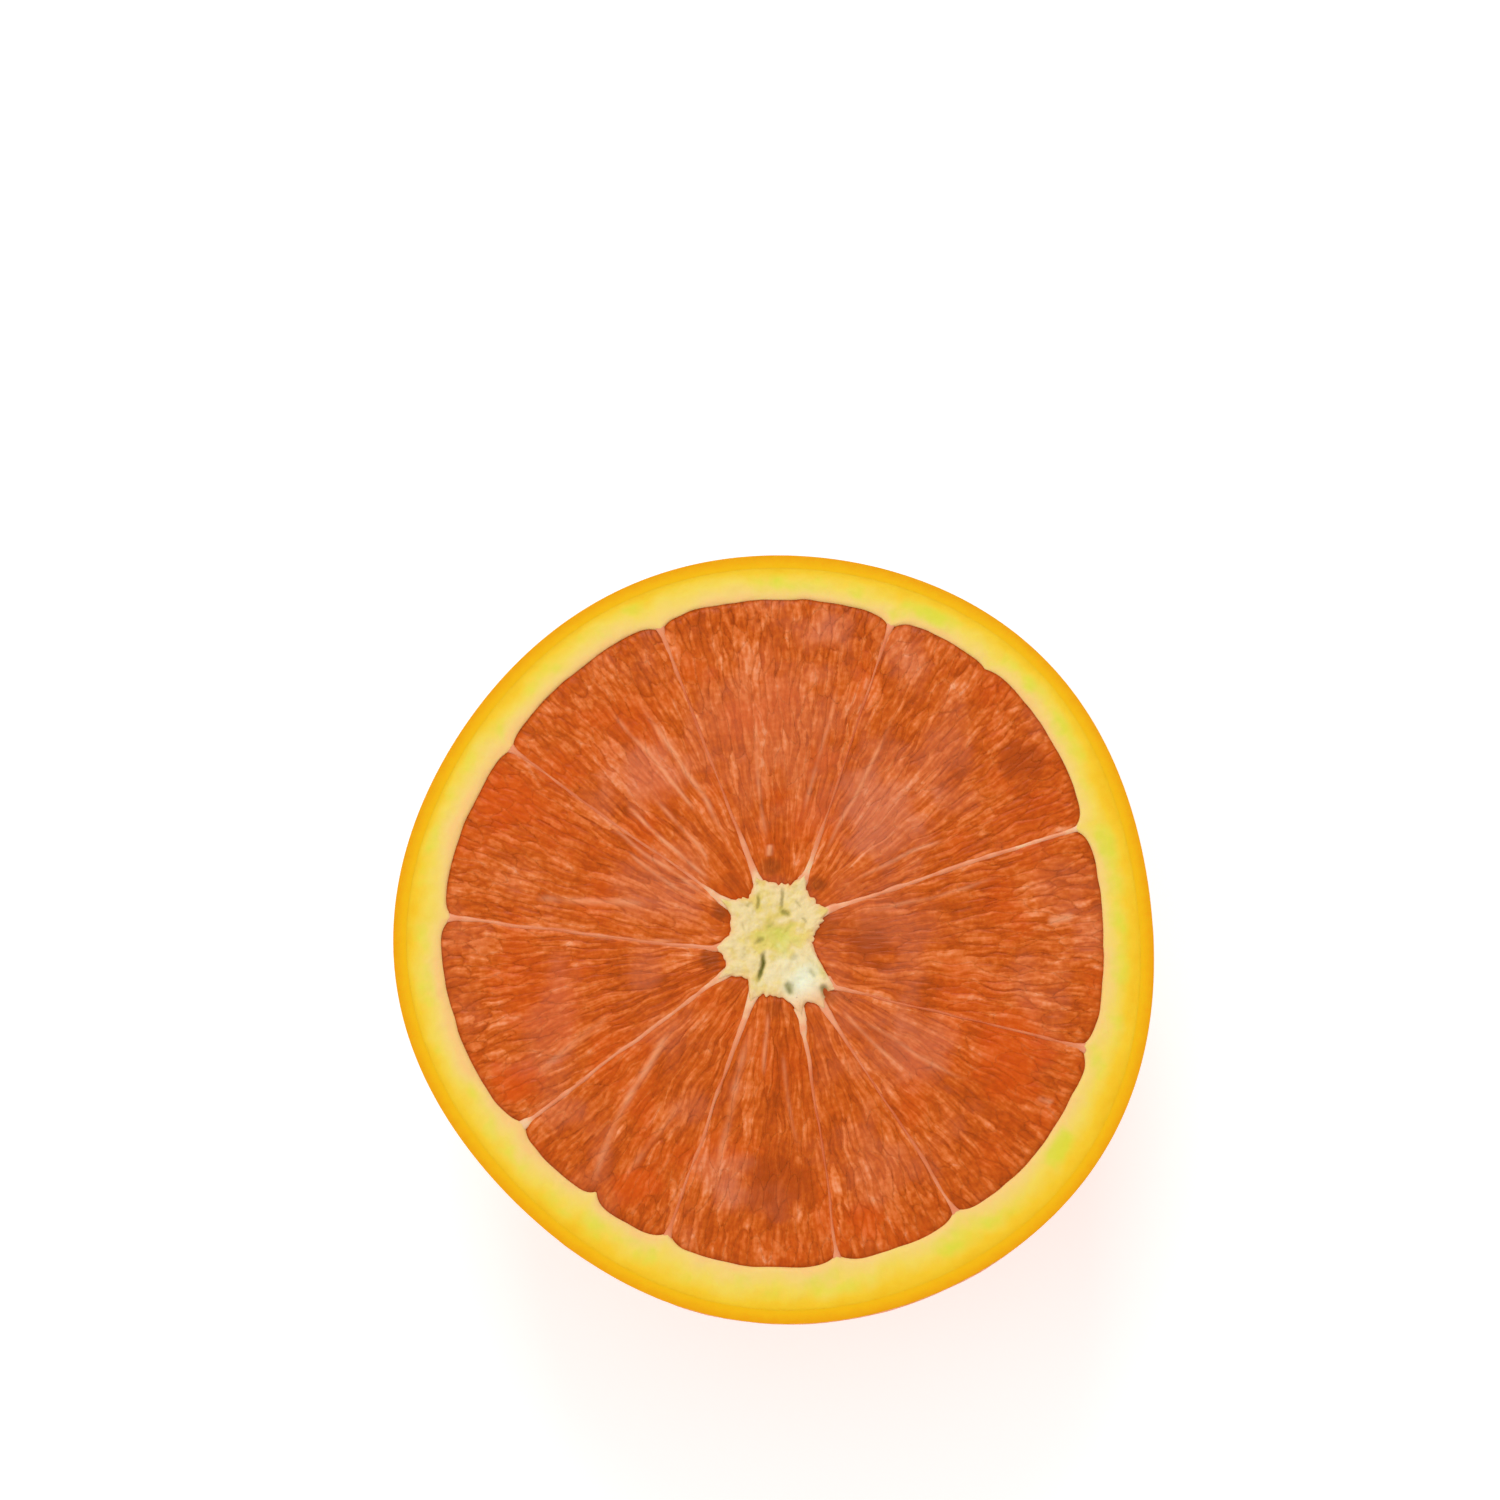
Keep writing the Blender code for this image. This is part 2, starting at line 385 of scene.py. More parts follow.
@dataclass(frozen=True)
class CutFace:
    """The plan of the cut face, as radii about the fruit's axis, and the depth of each layer under it.

    axis_x and axis_y place the axis, radius is the rim's mean, and height is that of the cut. zest is how
    thick the peel is, outside the pith. Each row of odd_notches is the direction, the depth and the spread
    of a place where the pith points inwards but no membrane meets it.
    """

    axis_x: float
    axis_y: float
    radius: float
    height: float
    dome_depth: float
    lobes: Lobes = ((2, 0.54 * MM, -68), (3, 0.48 * MM, -58), (5, 0.26 * MM, -29))
    rind: float = 5.0 * MM
    rind_lobes: Lobes = ((1, 0.49 * MM, -83), (2, 0.19 * MM, -55))
    zest: float = 1.35 * MM
    walls: tuple[Wall, ...] = WALLS
    notch_share: float = 0.85
    notch_spread: float = 0.95 * MM
    odd_notches: tuple[tuple[int, float, float], ...] = ((235, 1.0 * MM, 0.8 * MM), (52, 0.35 * MM, 0.8 * MM))
    flesh_ripple: float = 0.16 * MM
    core_point_spread: float = 0.62 * MM
    core_ripples: tuple[float, float] = (0.42 * MM, 0.22 * MM)
    wall_wander: float = 0.22 * MM

    @staticmethod
    def swell(angle: np.ndarray, lobes: Lobes) -> np.ndarray:
        """How far the lobes stand out in each direction."""
        return sum(size * np.cos(count * (angle - math.radians(deg))) for count, size, deg in lobes)

    def rim(self, angle: np.ndarray) -> np.ndarray:
        """How far the skin is from the axis in each direction."""
        return self.radius + self.swell(angle, self.lobes)

    def plain_flesh_edge(self, angle: np.ndarray) -> np.ndarray:
        """How far the flesh reaches in each direction, without its notches."""
        return self.rim(angle) - self.rind - self.swell(angle, self.rind_lobes)

    def flesh_edge(self, angle: np.ndarray) -> np.ndarray:
        """How far the flesh reaches in each direction. The pith points inwards at each membrane."""
        reach = self.plain_flesh_edge(angle)
        edge = reach + self.flesh_ripple * layered_noise(about(angle, 12.0), 41, 2)
        notches = [(wall.pith_deg, self.notch_share * wall.notch, self.notch_spread) for wall in self.walls]
        for deg, depth, spread in (*notches, *self.odd_notches):
            off = np.abs((angle - math.radians(deg) + math.pi) % TURN - math.pi) * reach
            edge = edge - depth * np.exp(-off / spread)
        return edge

    def core_edge(self, angle: np.ndarray) -> np.ndarray:
        """How far the core reaches in each direction. It has a point at each membrane."""
        edge = np.zeros_like(angle)
        for here, there in zip(self.walls, (*self.walls[1:], self.walls[0])):
            start = math.radians(here.core_deg)
            span = math.radians((there.core_deg - here.core_deg) % 360)
            past = (angle - start) % TURN
            inside = past < span
            before = np.exp(-past * here.hollow / self.core_point_spread)
            after = np.exp(-(span - past) * here.hollow / self.core_point_spread)
            outline = here.hollow + (here.tip - here.hollow) * before + (there.tip - here.hollow) * after
            edge = np.where(inside, outline, edge)
        broad, fine = self.core_ripples
        ring = about(angle, 5.0)
        return edge + broad * layered_noise(ring, 57, 3) + fine * noise(ring * 3.3, 59)

    def wall_angle(self, number: int, radius: np.ndarray) -> np.ndarray:
        """The direction in which a membrane lies at each distance from the axis.

        Args:
            number: The membrane's place in walls, from 0. It may run past the end.
            radius: Distances from the axis.

        Returns:
            Directions, which keep rising from one membrane to the next and past a full turn.
        """
        wall = self.walls[number % len(self.walls)]
        turns = number // len(self.walls)
        outer = math.radians(wall.pith_deg)
        reach = float(self.plain_flesh_edge(np.array([outer]))[0])
        lean = math.sin(math.radians(wall.core_deg) - outer) * wall.tip
        aside = lean * np.minimum((reach - radius) / (reach - wall.tip), radius / wall.tip)
        along = lane(radius / (4.5 * MM), 7.3 * (number % len(self.walls)))
        fade = np.clip((reach - radius) / (6 * MM), 0, 1) * np.clip((radius - 5 * MM) / (5 * MM), 0, 1)
        wander = self.wall_wander * layered_noise(along, 11, 2) * fade
        return outer + turns * TURN + np.arcsin(np.clip((aside + wander) / radius, -0.9, 0.9))

    def place(self, angle: np.ndarray, radius: np.ndarray, height: np.ndarray) -> np.ndarray:
        """Turns directions and distances about the axis into places in the frame."""
        x = self.axis_x + radius * np.cos(angle)
        y = self.axis_y + radius * np.sin(angle)
        return np.stack([x, y, np.broadcast_to(height, x.shape)], 1)


# --------------------------------------------------------------------------------------------------
# Blanks: plain closed meshes, in a space of their own, that a formula then shapes.


@dataclass
class Shaped:
    """What a layer's formula gives for a blank's vertices: places, values for the finish and two maps."""

    places: np.ndarray
    values: dict[str, np.ndarray]
    bake: np.ndarray
    grain: np.ndarray | None = None


Formula = Callable[[np.ndarray], Shaped]


def extrude_border(blank: bmesh.types.BMesh, border: list) -> tuple[list, list]:
    """Extrudes an open border, without moving it.

    Args:
        blank: The mesh.
        border: The border's edges.

    Returns:
        The new border's edges and its vertices.
    """
    made = bmesh.ops.extrude_edge_only(blank, edges=border)["geom"]
    edges = [item for item in made if isinstance(item, bmesh.types.BMEdge) and item.is_boundary]
    return edges, [item for item in made if isinstance(item, bmesh.types.BMVert)]


def make_blank(across: int, along: int, levels: int, crisp: tuple[int, ...] = ()) -> bmesh.types.BMesh:
    """A square sheet from 0 to 1, with its border extruded downwards, one unit a level, and closed below.

    Args:
        across: Faces along X.
        along: Faces along Y.
        levels: How many times the border is extruded.
        crisp: The levels whose edge is sharp. The sheet's own border is level 0.

    Returns:
        The blank, which the caller frees.
    """
    blank = bmesh.new()
    bmesh.ops.create_grid(blank, x_segments=across, y_segments=along, size=0.5)
    bmesh.ops.translate(blank, verts=blank.verts, vec=(0.5, 0.5, 0.0))
    border = [edge for edge in blank.edges if edge.is_boundary]
    for level in range(levels):
        for edge in border:
            edge.smooth = level not in crisp
        border, lowered = extrude_border(blank, border)
        bmesh.ops.translate(blank, verts=lowered, vec=(0.0, 0.0, -1.0))
    bmesh.ops.edgeloop_fill(blank, edges=border)
    bmesh.ops.recalc_face_normals(blank, faces=blank.faces)
    return blank


def to_disc(places: np.ndarray) -> tuple[np.ndarray, np.ndarray]:
    """Spreads the square from 0 to 1 evenly over a disc.

    Args:
        places: Places in the blank's space.

    Returns:
        The direction of each place and its distance from the middle, which is 1 at the border.
    """
    x, y = 2 * places[:, 0] - 1, 2 * places[:, 1] - 1
    wide = np.abs(x) > np.abs(y)
    reach = np.where(wide, x, y)
    slope = np.where(wide, y, x) / np.where(reach == 0, 1, reach)
    turn = np.where(wide, slope * math.pi / 4, math.pi / 2 - slope * math.pi / 4)
    turn = np.where(reach < 0, turn + math.pi, turn)
    return turn, np.abs(reach)


def shape_blank(name: str, blank: bmesh.types.BMesh, formula: Formula) -> bpy.types.Object:
    """Moves a blank's vertices to where a formula puts them, and makes it an object.

    Args:
        name: The piece's name.
        blank: The blank, which is freed here.
        formula: Takes the vertices' places in the blank and gives what the piece has there.

    Returns:
        The piece, linked to the scene, with smooth faces that point outwards.
    """
    start = np.array([vertex.co for vertex in blank.verts], float)
    shaped = formula(start)
    for vertex, place in zip(blank.verts, shaped.places):
        vertex.co = place
    bmesh.ops.recalc_face_normals(blank, faces=blank.faces)
    mesh = bpy.data.meshes.new(name)
    blank.to_mesh(mesh)
    blank.free()
    corners = np.empty(len(mesh.loops), np.int32)
    mesh.loops.foreach_get("vertex_index", corners)
    for label, values in (("grain", shaped.grain), ("OFBake", shaped.bake)):
        if values is not None:
            layer = mesh.uv_layers.new(name=label, do_init=False)
            layer.uv.foreach_set("vector", values[corners].astype(np.float32).ravel())
    for label, values in shaped.values.items():
        attribute = mesh.attributes.new(label, "FLOAT", "POINT")
        attribute.data.foreach_set("value", values.astype(np.float32))
    mesh.shade_smooth()
    piece = bpy.data.objects.new(name, mesh)
    bpy.context.scene.collection.objects.link(piece)
    return piece


# --------------------------------------------------------------------------------------------------
# Finishes.


class Graph:
    """A material's node tree, with short ways to add to it."""

    def __init__(self, name: str) -> None:
        """Makes a material with a Principled shader and nothing else."""
        self.material = bpy.data.materials.new(name)
        self.material.use_nodes = True
        self.tree = self.material.node_tree
        self.shader = self.tree.nodes["Principled BSDF"]

    def node(self, kind: str, inputs: dict | None = None, **settings) -> bpy.types.Node:
        """Adds a node.

        Args:
            kind: The node's type, without its ShaderNode prefix.
            inputs: Socket names or numbers to values or to sockets to link from.
            **settings: The node's own properties.

        Returns:
            The node.
        """
        made = self.tree.nodes.new("ShaderNode" + kind)
        for label, value in settings.items():
            setattr(made, label, value)
        for label, value in (inputs or {}).items():
            self.feed(made.inputs[label], value)
        return made

    def feed(self, socket: bpy.types.NodeSocket, value) -> None:
        """Sets a socket, or links it if the value is a socket too."""
        if isinstance(value, bpy.types.NodeSocket):
            self.tree.links.new(value, socket)
        else:
            socket.default_value = value

    def attribute(self, name: str) -> bpy.types.NodeSocket:
        """One of the piece's own values."""
        return self.node("Attribute", attribute_name=name).outputs["Fac"]

    def place(self) -> bpy.types.NodeSocket:
        """Where a point is on the object."""
        return self.node("TexCoord").outputs["Object"]

    def math(self, operation: str, first, second=0.0, third=0.0) -> bpy.types.NodeSocket:
        """A sum of two or three numbers or sockets."""
        inputs = {0: first, 1: second, 2: third}
        return self.node("Math", inputs, operation=operation).outputs[0]

    def times(self, first, second) -> bpy.types.NodeSocket:
        """The product of two numbers or sockets."""
        return self.math("MULTIPLY", first, second)

    def swing(self, base, speckle, amount) -> bpy.types.NodeSocket:
        """The base, raised and lowered by a speckle, by amount from the lowest to the highest."""
        return self.math("MULTIPLY_ADD", self.math("SUBTRACT", speckle, 0.5), amount, base)

    def speckle(self, vector: bpy.types.NodeSocket, scale: float, detail: float) -> bpy.types.NodeSocket:
        """Noise from 0 to 1, with a mean of a half.

        Args:
            vector: Where to read the noise.
            scale: Its spots to a unit of the vector.
            detail: How many finer layers lie on top.

        Returns:
            The noise's value.
        """
        inputs = {"Vector": vector, "Scale": scale, "Detail": detail}
        return self.node("TexNoise", inputs).outputs["Fac"]

    def ramp(self, value: bpy.types.NodeSocket, stops: dict[float, Colour | float]) -> bpy.types.NodeSocket:
        """A colour for each value.

        Args:
            value: What picks the colour.
            stops: Values from 0 to 1 with their colours, in linear RGB, or with their greys.

        Returns:
            The colour.
        """
        made = self.node("ValToRGB", {"Fac": value})
        ramp = made.color_ramp
        places = sorted(stops)
        while len(ramp.elements) < len(places):
            ramp.elements.new(0.5)
        for element, at in zip(ramp.elements, places):
            element.position = at
            colour = stops[at]
            element.color = (*colour, 1.0) if isinstance(colour, tuple) else (colour, colour, colour, 1.0)
        return made.outputs["Color"]

    def mix(self, share, first, second) -> bpy.types.NodeSocket:
        """One colour blended with another.

        Args:
            share: How much of the second, from 0 to 1.
            first: A colour or a socket.
            second: A colour or a socket.

        Returns:
            The blended colour.
        """
        made = self.node("Mix", data_type="RGBA")
        self.feed(made.inputs["Factor"], share)
        for label, value in (("A", first), ("B", second)):
            socket = next(s for s in made.inputs if s.name == label and s.type == "RGBA")
            self.feed(socket, (*value, 1.0) if isinstance(value, tuple) else value)
        return next(s for s in made.outputs if s.type == "RGBA")

    def bump(self, height, depth: float, under: bpy.types.NodeSocket | None = None) -> bpy.types.NodeSocket:
        """A bump that stands depth metres high where height is 1, on top of another bump."""
        inputs = {"Height": height, "Distance": depth, "Strength": 1.0}
        if under is not None:
            inputs["Normal"] = under
        return self.node("Bump", inputs).outputs["Normal"]

    def set(self, **values) -> None:
        """Sets the shader's sockets, with _ for a space in a socket's name."""
        for label, value in values.items():
            self.feed(self.shader.inputs[label.replace("_", " ")], value)

    def glow(self, weight: float, radius: Colour, scale: float) -> None:
        """Lets light sink in and come out again, each colour as far as its radius says."""
        self.set(Subsurface_Weight=weight, Subsurface_Radius=radius, Subsurface_Scale=scale)


@dataclass(frozen=True)
class PeelFinish:
    """Waxy orange skin, deeper in colour over each gland and with painted shade in the dents of its pores,
    and the golden band that the knife leaves.
    """

    skin: Colour = srgb("ee7c00")
    deep: Colour = srgb("e87200")
    bright: Colour = srgb("f28a06")
    gland: Colour = srgb("dc6400")
    # gland is also the colour of the painted shade in the pores' dents.
    scar: Colour = srgb("a58c58")
    cut_outer: Colour = srgb("eda404")
    cut_inner: Colour = srgb("f4b80a")
    cut_end: Colour = srgb("f4bb10")
    pore_scale: float = 1050.0  # pores in a metre

    def make(self) -> bpy.types.Material:
        """Builds the material."""
        graph = Graph("orange_peel")
        place = graph.place()
        cloud = graph.speckle(place, 70.0, 3.0)
        skin = graph.ramp(cloud, {0.25: self.deep, 0.5: self.skin, 0.80: self.bright})
        cells = {"Vector": place, "Scale": self.pore_scale}
        pore = graph.node("TexVoronoi", cells, feature="SMOOTH_F1").outputs["Distance"]
        dent = graph.ramp(pore, {0.10: 1.0, 0.45: 0.0})
        skin = graph.mix(graph.times(graph.attribute("gland"), 0.55), skin, self.gland)
        # Painted shade: the pores' dents are darkened towards the gland colour.
        skin = graph.mix(graph.times(dent, 0.40), skin, self.gland)
        skin = graph.mix(graph.attribute("scar"), skin, self.scar)
        cut = graph.attribute("cut")
        depth = graph.swing(cut, graph.speckle(place, 900.0, 2.0), 0.5)
        band = graph.ramp(depth, {0.05: self.cut_outer, 0.7: self.cut_inner, 1.0: self.cut_end})
        sliced = graph.math("GREATER_THAN", cut, 0.001)
        graph.set(Base_Color=graph.mix(sliced, skin, band), Roughness=0.34, IOR=1.45)
        graph.set(Specular_IOR_Level=graph.math("MULTIPLY_ADD", sliced, -0.24, 0.36))  # wax on the skin only
        graph.glow(0.12, (1.0, 0.35, 0.08), 0.4 * MM)
        relief = graph.times(graph.ramp(pore, {0.05: 0.0, 0.60: 1.0}), graph.math("SUBTRACT", 1.0, sliced))
        pebbles = graph.bump(relief, 0.16 * MM)
        graph.set(Normal=graph.bump(graph.speckle(place, 2600.0, 3.0), 0.03 * MM, pebbles))
        return graph.material


@dataclass(frozen=True)
class PithFinish:
    """Cut pith: golden by the peel, then yellow, and cream by the flesh."""

    outer: Colour = srgb("f4bb10")
    golden: Colour = srgb("f6ca2c")
    middle: Colour = srgb("f3d656")
    inner: Colour = srgb("f5d276")
    edge: Colour = srgb("f9c87c")
    lime: Colour = srgb("d8dc38")

    def make(self) -> bpy.types.Material:
        """Builds the material."""
        graph = Graph("pith")
        place = graph.place()
        sponge = graph.speckle(place, 480.0, 3.0)
        depth = graph.attribute("depth")
        freedom = graph.ramp(depth, {0.05: 0.1, 0.30: 0.7})  # the bands stray, but not by the peel
        depth = graph.swing(depth, graph.speckle(place, 170.0, 2.0), freedom)
        depth = graph.swing(depth, sponge, 0.30)
        stops = {0.0: self.outer, 0.22: self.golden, 0.52: self.middle, 0.82: self.inner, 1.0: self.edge}
        spots = graph.ramp(graph.speckle(place, 260.0, 3.0), {0.48: 0.0, 0.68: 0.70})
        colour = graph.mix(graph.times(spots, graph.attribute("heart")), graph.ramp(depth, stops), self.lime)
        graph.set(Base_Color=colour, Roughness=0.5, IOR=1.4, Specular_IOR_Level=0.18)
        graph.glow(0.3, (1.0, 0.75, 0.35), 0.7 * MM)
        coarse = graph.bump(sponge, 0.10 * MM)
        graph.set(Normal=graph.bump(graph.speckle(place, 2400.0, 3.0), 0.03 * MM, coarse))
        return graph.material


@dataclass(frozen=True)
class FleshFinish:
    """Wet juice sacs, darker where they are full and paler along their skins, with painted shade where the
    flesh dips, a painted sheen in patches and a few painted glints.
    """

    dark: Colour = srgb("aa4402")
    deep: Colour = srgb("c05008")
    body: Colour = srgb("d05e12")
    light: Colour = srgb("e57838")
    pale: Colour = srgb("f8a272")
    # A painted sheen, partly the flesh's own pinker tone.
    haze: Colour = srgb("d67c5c")
    ember: Colour = srgb("de5000")
    # fibre also colours the painted glints among the rays.
    fibre: Colour = srgb("f4a272")
    # shade colours the painted shade by the pith and the dark patches, which are partly painted shadow.
    shade: Colour = srgb("7e3e10")
    grain_scale: tuple[float, float, float] = (2.8, 0.36, 1.0)  # across and along a sac, to a millimetre

    def make(self) -> bpy.types.Material:
        """Builds the material."""
        graph = Graph("flesh")
        grain = graph.node("UVMap", uv_map="grain").outputs["UV"]
        drawn = graph.node("Mapping", {"Vector": grain, "Scale": self.grain_scale}).outputs["Vector"]
        fibre = graph.speckle(drawn, 1.0, 2.5)
        mottle = graph.speckle(graph.place(), 1700.0, 3.0)
        tone = graph.swing(graph.swing(graph.attribute("tone"), fibre, 0.60), mottle, 0.75)
        stops = {0.0: self.dark, 0.25: self.deep, 0.45: self.body, 0.70: self.light, 1.0: self.pale}
        colour = graph.ramp(tone, stops)
        colour = graph.mix(graph.times(graph.attribute("ember"), 0.55), colour, self.ember)
        # Painted sheen, partly a pinker tone, in patches.
        colour = graph.mix(graph.times(graph.attribute("haze"), 0.50), colour, self.haze)
        # Pale fibres, with painted glints at three places.
        colour = graph.mix(graph.attribute("ray"), colour, self.fibre)
        # Painted shade where the flesh dips by the pith, together with the dark patches, which are partly
        # painted shadow.
        dim = graph.math("MULTIPLY_ADD", graph.attribute("brink"), 0.35, graph.attribute("shade"))
        colour = graph.mix(graph.times(dim, 0.75), colour, self.shade)
        graph.set(Base_Color=colour, Roughness=0.33, IOR=1.36, Specular_IOR_Level=0.2)
        graph.glow(0.12, (1.0, 0.3, 0.1), 0.45 * MM)
        graph.set(Normal=graph.bump(mottle, 0.04 * MM, graph.bump(fibre, 0.06 * MM)))
        return graph.material


@dataclass(frozen=True)
class MembraneFinish:
    """Thin skin between two segments, tinted by the flesh on both sides."""

    clear: Colour = srgb("cc5c26")
    tinted: Colour = srgb("df7a48")
    pale: Colour = srgb("ee9c70")
    cream: Colour = srgb("f3c293")

    def make(self) -> bpy.types.Material:
        """Builds the material."""
        graph = Graph("membrane")
        share = graph.swing(graph.attribute("paleness"), graph.speckle(graph.place(), 420.0, 2.0), 0.8)
        stops = {0.0: self.clear, 0.35: self.tinted, 0.80: self.pale, 1.0: self.cream}
        graph.set(Base_Color=graph.ramp(share, stops), Roughness=0.4, IOR=1.38)
        graph.glow(0.2, (1.0, 0.4, 0.15), 0.4 * MM)
        graph.set(Normal=graph.bump(graph.speckle(graph.place(), 1500.0, 2.0), 0.04 * MM))
        return graph.material


@dataclass(frozen=True)
class CoreFinish:
    """Cream, crumbly core, greenish in the middle and olive down its pits."""

    pale: Colour = srgb("eed79c")
    cream: Colour = srgb("e6cc6e")
    green: Colour = srgb("d8d05a")
    white: Colour = srgb("f0efd0")
    rim: Colour = srgb("f0b07c")
    pit: Colour = srgb("7d7a24")

    def make(self) -> bpy.types.Material:
        """Builds the material."""
        graph = Graph("core")
        crumb = graph.speckle(graph.place(), 900.0, 3.0)
        patch = graph.speckle(graph.place(), 420.0, 2.0)
        middle = graph.swing(graph.swing(graph.attribute("middle"), crumb, 1.3), patch, 1.2)
        colour = graph.ramp(middle, {0.0: self.pale, 0.35: self.cream, 1.0: self.green})
        for label, other in (("white", self.white), ("rim", self.rim), ("pit", self.pit)):
            colour = graph.mix(graph.attribute(label), colour, other)
        graph.set(Base_Color=colour, Roughness=0.55, IOR=1.4)
        graph.glow(0.25, (1.0, 0.8, 0.4), 0.5 * MM)
        graph.set(Normal=graph.bump(crumb, 0.16 * MM))
        return graph.material


# --------------------------------------------------------------------------------------------------
# The layers of the fruit.


def sunk(level: np.ndarray, levels: int, last_deg: float = 78.0) -> np.ndarray:
    """How far round towards the pole each level below the face lies, as an angle.

    Args:
        level: The level of each vertex, 0 on the face.
        levels: The number of the last level.
        last_deg: Where the last level lies.

    Returns:
        Angles from 0 on the face to last_deg.
    """
    return np.radians(last_deg) * np.clip(level, 0, levels) / levels


@dataclass
class Peel:
    """The coloured skin: a dome full of glands, with a scar at its pole and a golden band where it is cut."""

    face: CutFace
    cells: int = 276
    gland_spacing: float = 1.40 * MM
    gland_jitter: float = 0.24  # of the spacing
    gland_radius: float = 0.36  # of the spacing
    gland_depth: float = 0.13 * MM
    swell_depth: float = 0.10 * MM
    ripple_depth: float = 0.03 * MM
    scar_depth: float = 1.1 * MM
    crease_depth: float = 0.12 * MM
    creases: int = 9
    spot_blend: float = 0.35 * MM  # how softly the dome turns into the spot that it stands on
    lip: float = 0.06 * MM
    band_slope: float = 0.050 * MM
    band_ripple: float = 0.03 * MM
    band_levels: int = 6
    inner_levels: int = 8

    def skin_depth(self, places: np.ndarray) -> tuple[np.ndarray, np.ndarray]:
        """The dents of the glands and the broader unevenness of the skin.

        Args:
            places: Places on the smooth skin.

        Returns:
            How far each place moves inwards, and how near it is to the middle of a gland.
        """
        face = self.face
        count = int(TURN * face.radius * face.dome_depth / self.gland_spacing**2)
        row = np.arange(count) + 0.5
        lift = row / count
        spread = np.column_stack([about(row * GOLDEN_ANGLE, np.sqrt(1 - lift**2)), -lift])
        jitter = np.random.default_rng(5).normal(0, self.gland_jitter * self.gland_spacing, (count, 3))
        middle = [face.axis_x, face.axis_y, face.height]
        seeds = spread * [face.radius, face.radius, face.dome_depth] + middle + jitter
        rows, near = nearest(places, seeds)
        strength = 0.55 + 0.9 * np.random.default_rng(6).random(count)
        pit = np.exp(-((near / (self.gland_radius * self.gland_spacing)) ** 2)) * strength[rows]
        swell = self.swell_depth * layered_noise(places / (7 * MM), 21, 2)
        ripple = self.ripple_depth * noise(places / (1.6 * MM), 23)
        return self.gland_depth * pit + swell + ripple, pit

    def pole(self, places: np.ndarray, angle: np.ndarray) -> tuple[np.ndarray, np.ndarray]:
        """The scar where the fruit hung, in the middle of the spot that it stands on.

        Args:
            places: Places on the skin.
            angle: Their directions from the axis.

        Returns:
            How much of the scar is at each place, and how far up the skin is drawn in there.
        """
        out = np.hypot(places[:, 0] - self.face.axis_x, places[:, 1] - self.face.axis_y) / MM
        crease = np.cos(self.creases * angle) * smooth_step(out, 0.5, 1.5) * (1 - smooth_step(out, 1.5, 4.5))
        lift = self.scar_depth * (1 - smooth_step(out, 0.6, 3.4)) + self.crease_depth * crease
        return 1 - smooth_step(out, 1.2, 2.4), lift

    def shape(self, start: np.ndarray) -> Shaped:
        """Places the blank's vertices: the sheet as the dome, its border over the cut edge and back down."""
        face = self.face
        angle, reach = to_disc(start)
        level = np.round(-start[:, 2])
        fall = 2 * np.arcsin(reach * math.sin(math.pi / 4))  # from the pole, spread evenly over the dome
        rim = face.rim(angle)
        smooth = face.place(angle, rim * np.sin(fall), face.height - face.dome_depth * np.cos(fall))
        depth, pit = self.skin_depth(smooth)
        depth *= smooth_step(math.pi / 2 - fall, 0.0, 0.02)
        outward = smooth - [face.axis_x, face.axis_y, face.height]
        outward /= np.stack([rim, rim, np.full_like(rim, face.dome_depth)], 1)
        outward /= np.linalg.norm(outward, axis=1)[:, None]
        places = smooth - outward * depth[:, None]
        scar, lift = self.pole(places, angle)
        foot = places[:, 2]
        places[:, 2] = 0.5 * (foot + np.sqrt(foot**2 + self.spot_blend**2)) + lift
        band = level >= 1
        share = np.clip((level - 1) / (self.band_levels - 1), 0, 1)
        inward = self.lip + (face.zest - self.lip) * share
        ripple = self.band_ripple * noise(smooth / (1.1 * MM), 25) * (1 - share)
        on_top = face.place(angle, rim - inward, face.height - self.band_slope * share + ripple)
        places[band] = on_top[band]
        below = level > self.band_levels
        turn = sunk(level - self.band_levels, self.inner_levels, 80.0)
        inner_depth = face.dome_depth - face.zest
        inner = face.place(angle, (rim - face.zest) * np.cos(turn), face.height - inner_depth * np.sin(turn))
        places[below] = inner[below]
        values = {"gland": pit * ~band, "scar": scar * ~band, "cut": np.maximum(share, 0.02) * band}
        rings = np.minimum(level, self.band_levels + 2)[:, None]
        bake = 0.5 + 0.46 * (2 * start[:, :2] - 1) * (1 + 1.2 / self.cells * rings)
        return Shaped(places, values, bake)

    def build(self) -> bpy.types.Object:
        """Makes the piece."""
        crisp = (0, self.band_levels)
        blank = make_blank(self.cells, self.cells, self.band_levels + self.inner_levels, crisp)
        return shape_blank("peel", blank, self.shape)


